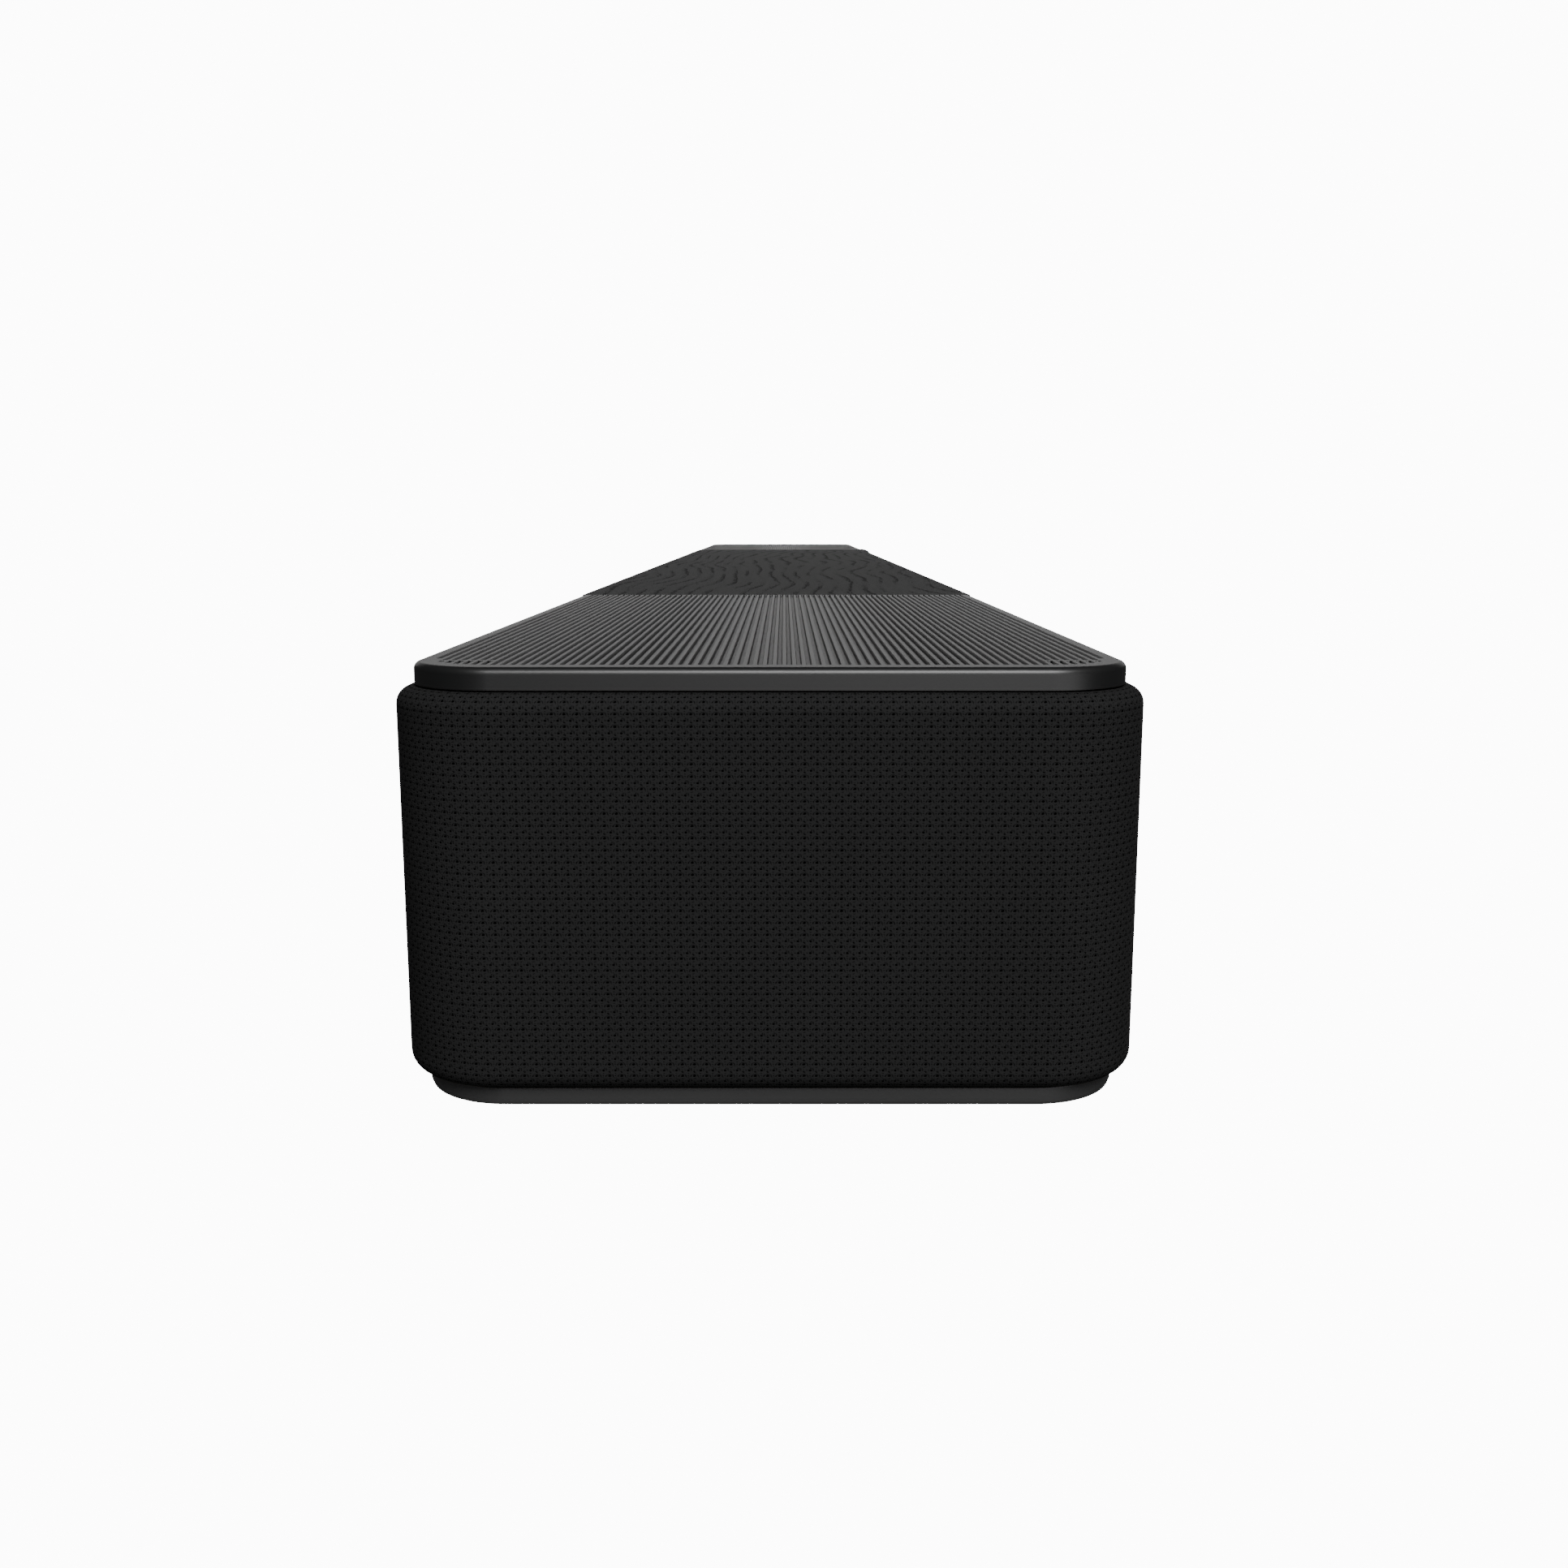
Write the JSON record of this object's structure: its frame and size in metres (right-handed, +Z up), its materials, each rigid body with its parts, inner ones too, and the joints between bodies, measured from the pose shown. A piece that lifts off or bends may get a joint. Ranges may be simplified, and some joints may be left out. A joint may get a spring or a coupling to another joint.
{
  "type": "soundbar",
  "caption": "Long fabric-wrapped soundbar with a stained wood top panel between slotted grille caps, a glossy control tab, a low plinth and a rear socket bay.",
  "frame": {"origin": "on the floor below the middle of the whole bar's box", "axes": "+Z up, +X along the bar to the listener's right, -Y to the front"},
  "size_m": [1.118, 0.127, 0.0786],
  "materials": {
    "fabric": "open knit, near black",
    "satin_trim": "fine satin, dark grey",
    "black_plastic": "fine matt, black",
    "gloss_black": "polished black",
    "stained_wood": "black-brown stained open-pore veneer, matt lacquer",
    "foot_rubber": "matt black",
    "cone": "matt treated cone with soft surround",
    "motor_steel": "dark coated steel basket and magnet",
    "plated_steel": "bright zinc plate",
    "circuit_board": "green solder mask",
    "heatsink_metal": "extruded, bare"
  },
  "bodies": {
    "body": {"fabric_wrap": "fabric", "grille_screen_left": "fabric", "grille_screen_right": "fabric", "top_grille_left": "satin_trim", "top_grille_right": "satin_trim", "base_tray": "satin_trim", "grille_frame": "black_plastic", "speaker_box_left": "black_plastic", "speaker_box_right": "black_plastic", "centre_housing": "black_plastic", "top_panel_carrier": "black_plastic", "rear_panel_left": "black_plastic", "rear_panel_right": "black_plastic", "socket_bay": "black_plastic", "tweeter_horn": "black_plastic", "height_pod_left": "black_plastic", "height_pod_right": "black_plastic", "power_inlet": "black_plastic", "optical_socket": "black_plastic", "sub_out_jack": "black_plastic", "control_tab": "gloss_black", "top_wood_panel": "stained_wood", "tweeter_magnet": "motor_steel", "wall_insert_left": "plated_steel", "wall_insert_right": "plated_steel", "usb_socket": "plated_steel", "hdmi_socket": "plated_steel", "wireless_module": "plated_steel", "main_board": "circuit_board", "power_supply_board": "circuit_board", "display_board": "circuit_board", "button_board": "circuit_board", "heatsink": "heatsink_metal", "foot_1": "foot_rubber", "front_driver_frame_1": "motor_steel", "foot_2": "foot_rubber", "front_driver_frame_2": "motor_steel", "foot_3": "foot_rubber", "front_driver_frame_3": "motor_steel", "foot_4": "foot_rubber", "front_driver_frame_4": "motor_steel", "height_driver_frame_left": "motor_steel", "woofer_frame_left": "motor_steel", "height_driver_frame_right": "motor_steel", "woofer_frame_right": "motor_steel"},
    "button_power": {"button_power": "gloss_black"},
    "button_source": {"button_source": "gloss_black"},
    "button_volume_down": {"button_volume_down": "gloss_black"},
    "button_volume_up": {"button_volume_up": "gloss_black"},
    "front_driver_cone_1": {"front_driver_cone_1": "cone"},
    "front_driver_cone_2": {"front_driver_cone_2": "cone"},
    "front_driver_cone_3": {"front_driver_cone_3": "cone"},
    "front_driver_cone_4": {"front_driver_cone_4": "cone"},
    "tweeter_dome": {"tweeter_dome": "cone"},
    "height_driver_cone_left": {"height_driver_cone_left": "cone"},
    "woofer_cone_left": {"woofer_cone_left": "cone"},
    "height_driver_cone_right": {"height_driver_cone_right": "cone"},
    "woofer_cone_right": {"woofer_cone_right": "cone"}
  },
  "joints": [
    {"name": "power_press", "type": "slide", "parent": "body", "child": "button_power", "axis": [0, 0, -1], "range_m": [0, 0.0004], "stiffness_N_per_m": 1500, "springref_m": -0.0001},
    {"name": "source_press", "type": "slide", "parent": "body", "child": "button_source", "axis": [0, 0, -1], "range_m": [0, 0.0004], "stiffness_N_per_m": 1500, "springref_m": -0.0001},
    {"name": "volume_down_press", "type": "slide", "parent": "body", "child": "button_volume_down", "axis": [0, 0, -1], "range_m": [0, 0.0004], "stiffness_N_per_m": 1500, "springref_m": -0.0001},
    {"name": "volume_up_press", "type": "slide", "parent": "body", "child": "button_volume_up", "axis": [0, 0, -1], "range_m": [0, 0.0004], "stiffness_N_per_m": 1500, "springref_m": -0.0001},
    {"name": "front_cone_1_stroke", "type": "slide", "parent": "body", "child": "front_driver_cone_1", "axis": [0, -1, 0], "range_m": [-0.0025, 0.0025], "stiffness_N_per_m": 1500},
    {"name": "front_cone_2_stroke", "type": "slide", "parent": "body", "child": "front_driver_cone_2", "axis": [0, -1, 0], "range_m": [-0.0025, 0.0025], "stiffness_N_per_m": 1500},
    {"name": "front_cone_3_stroke", "type": "slide", "parent": "body", "child": "front_driver_cone_3", "axis": [0, -1, 0], "range_m": [-0.0025, 0.0025], "stiffness_N_per_m": 1500},
    {"name": "front_cone_4_stroke", "type": "slide", "parent": "body", "child": "front_driver_cone_4", "axis": [0, -1, 0], "range_m": [-0.0025, 0.0025], "stiffness_N_per_m": 1500},
    {"name": "tweeter_dome_stroke", "type": "slide", "parent": "body", "child": "tweeter_dome", "axis": [0, -1, 0], "range_m": [-0.0003, 0.0003], "stiffness_N_per_m": 3000},
    {"name": "height_cone_left_stroke", "type": "slide", "parent": "body", "child": "height_driver_cone_left", "axis": [0, -0.2588, 0.9659], "range_m": [-0.0025, 0.0025], "stiffness_N_per_m": 1500},
    {"name": "woofer_cone_left_stroke", "type": "slide", "parent": "body", "child": "woofer_cone_left", "axis": [0, 0, -1], "range_m": [-0.004, 0.004], "stiffness_N_per_m": 1500},
    {"name": "height_cone_right_stroke", "type": "slide", "parent": "body", "child": "height_driver_cone_right", "axis": [0, -0.2588, 0.9659], "range_m": [-0.0025, 0.0025], "stiffness_N_per_m": 1500},
    {"name": "woofer_cone_right_stroke", "type": "slide", "parent": "body", "child": "woofer_cone_right", "axis": [0, 0, -1], "range_m": [-0.004, 0.004], "stiffness_N_per_m": 1500}
  ]
}
